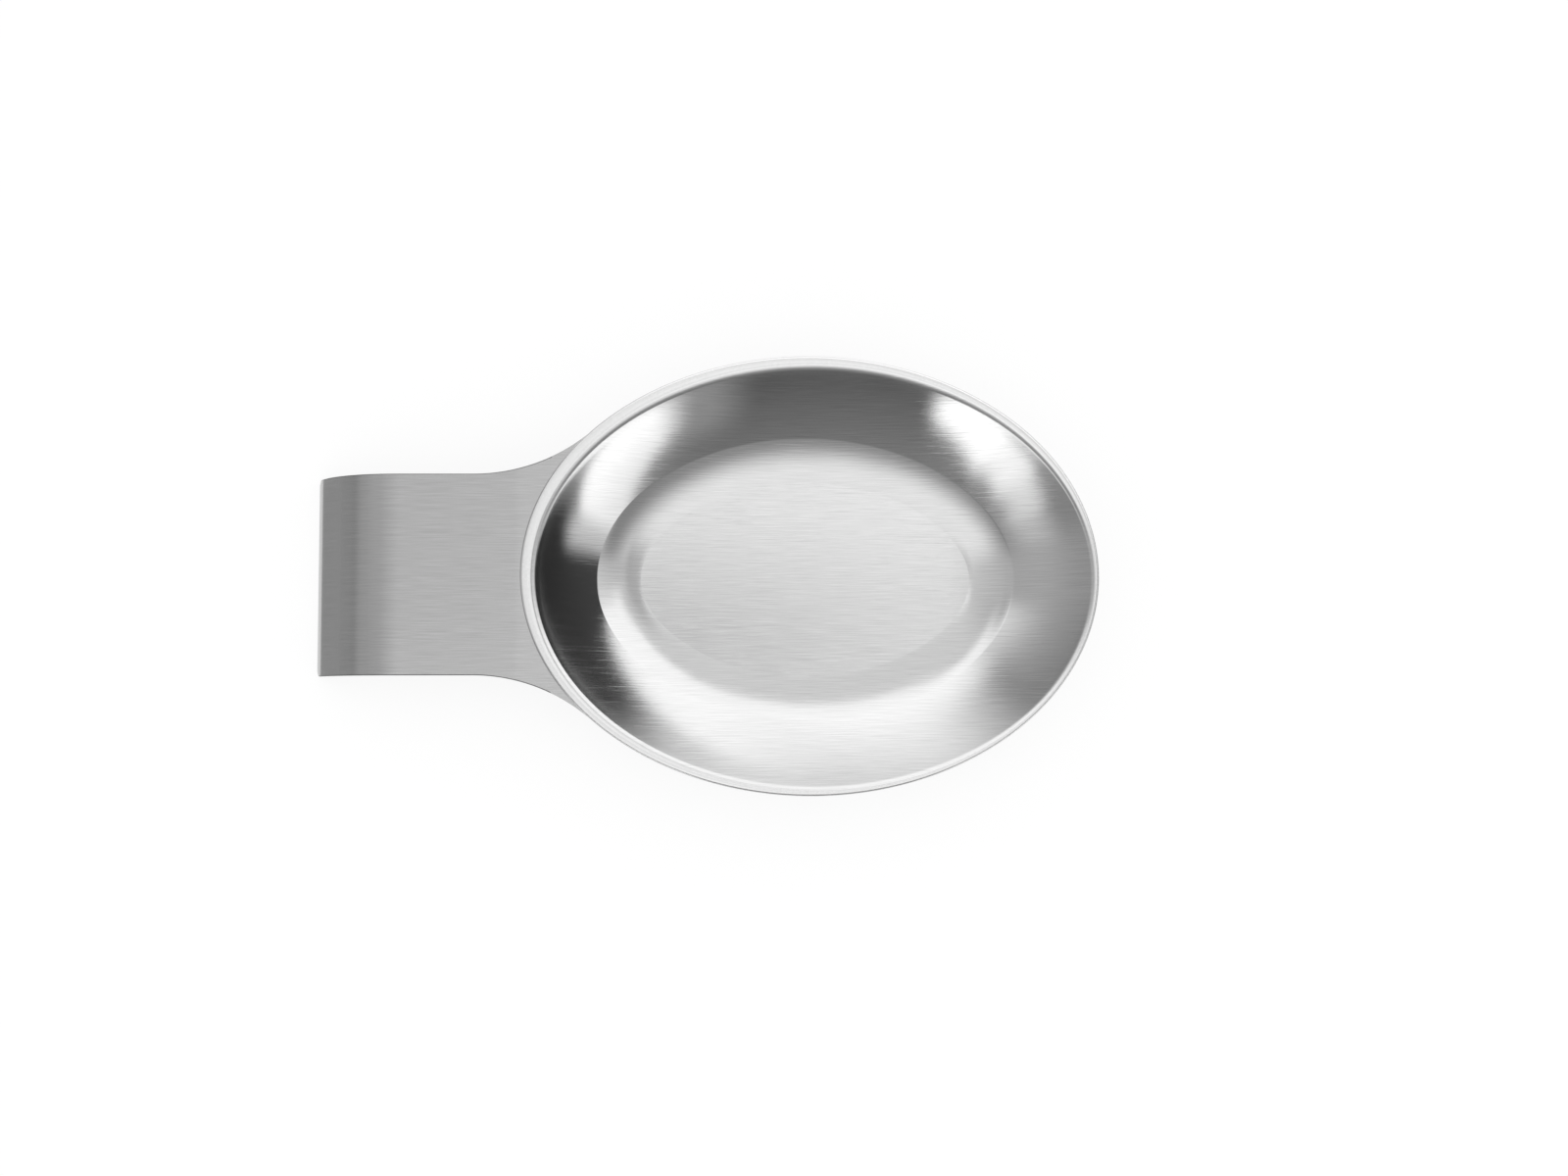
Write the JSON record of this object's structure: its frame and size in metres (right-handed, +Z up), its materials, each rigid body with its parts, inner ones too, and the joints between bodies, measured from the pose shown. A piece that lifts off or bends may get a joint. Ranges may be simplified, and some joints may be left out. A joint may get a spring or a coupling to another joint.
{
  "type": "spoon rest",
  "caption": "Oval spoon rest in brushed steel: a shallow bowl with a flat rim and a strap handle that rolls down to the table.",
  "frame": {"origin": "on the table under the middle of the whole length", "axes": "+X from the handle towards the bowl's far end, +Z up from the table"},
  "size_m": [0.2381, 0.133, 0.022],
  "materials": {
    "brushed_steel": "fine straight brushing along the handle, satin",
    "weld_metal": "weld bead, wire-brushed dull"
  },
  "bodies": {
    "root": {"bowl": "brushed_steel", "handle": "brushed_steel", "weld_seam": "weld_metal"}
  },
  "joints": []
}
